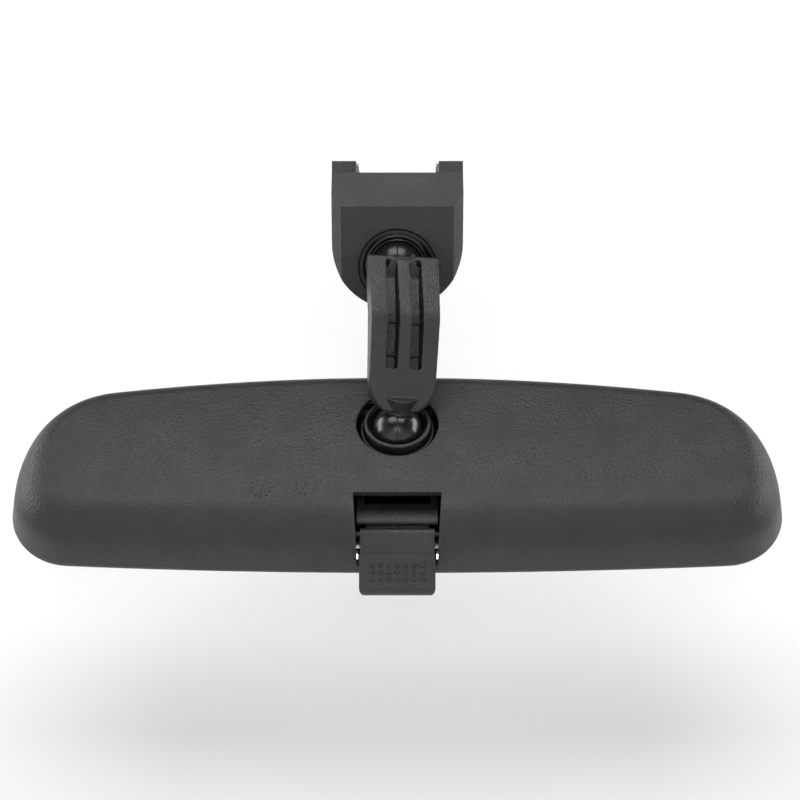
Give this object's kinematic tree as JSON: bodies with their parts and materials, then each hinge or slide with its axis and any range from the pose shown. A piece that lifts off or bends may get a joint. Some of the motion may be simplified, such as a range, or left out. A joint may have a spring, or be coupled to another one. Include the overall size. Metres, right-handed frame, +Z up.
{
  "type": "interior rearview mirror",
  "caption": "Day/night prism rearview mirror: black moulded case on a ribbed double-ball arm, with a windshield button mount and a dimming lever.",
  "frame": {"origin": "middle of the mount's face that lies on the windshield", "axes": "+X along the mirror's width, +Z up in the car, +Y the way the glass looks (to the driver); the windshield face leans 30 degrees back from level"},
  "size_m": [0.2456, 0.062, 0.1454],
  "materials": {
    "grained_plastic": "fine-grained moulded ABS, semi-matt",
    "glossy_nylon": "smooth black nylon",
    "zinc_steel": "zinc-plated steel",
    "spring_steel": "spring steel",
    "dark_steel": "blackened spring steel",
    "clear_glass": "clear ground prism glass",
    "mirror_silver": "silver coating",
    "grey_foam": "closed-cell foam"
  },
  "bodies": {
    "mount": {"mount_cover": "grained_plastic", "button_channel": "zinc_steel", "button_spring_clip": "spring_steel", "channel_screw_left": "zinc_steel", "channel_screw_right": "zinc_steel", "cup_wave_spring": "spring_steel", "cup_retaining_ring": "dark_steel"},
    "upper_socket": {"upper_ball_cup": "glossy_nylon"},
    "arm": {"ball_arm": "grained_plastic"},
    "lower_socket": {"ball_socket_liner": "glossy_nylon"},
    "bracket": {"toggle_bracket": "grained_plastic", "socket_clamp_ring": "dark_steel"},
    "head": {"rear_housing": "grained_plastic", "bracket_hinge_pin": "zinc_steel", "prism_glass": "clear_glass", "mirror_coating": "mirror_silver", "glass_pad_left": "grey_foam", "glass_pad_right": "grey_foam", "lever_pivot_pin": "dark_steel", "detent_leaf_spring": "spring_steel"},
    "lever": {"day_night_lever": "grained_plastic"}
  },
  "joints": [
    {"name": "arm_swivel", "type": "hinge", "parent": "mount", "child": "upper_socket", "pos_m": [0, 0.01012, -0.03273], "axis": [0, -0.5446, -0.8387], "range_deg": [-30, 30]},
    {"name": "arm_tilt", "type": "hinge", "parent": "upper_socket", "child": "arm", "pos_m": [0, 0.01012, -0.03273], "axis": [1, 0, 0], "range_deg": [-12, 12]},
    {"name": "mirror_yaw", "type": "hinge", "parent": "arm", "child": "lower_socket", "pos_m": [0, 0.03136, -0.0853], "axis": [0, 0, 1], "range_deg": [-15, 15]},
    {"name": "mirror_pitch", "type": "hinge", "parent": "lower_socket", "child": "bracket", "pos_m": [0, 0.03136, -0.0853], "axis": [1, 0, 0], "range_deg": [-18, 12]},
    {"name": "day_night_tilt", "type": "hinge", "parent": "bracket", "child": "head", "pos_m": [0, 0.03906, -0.0713], "axis": [-1, 0, 0], "range_deg": [0, 4.5]},
    {"name": "lever_flip", "type": "hinge", "parent": "head", "child": "lever", "pos_m": [0, 0.03756, -0.1207], "axis": [-1, 0, 0], "range_deg": [0, 25]}
  ],
  "couplings": [
    {"joint": "lever_flip", "follows": "day_night_tilt", "ratio": 5.5555}
  ]
}
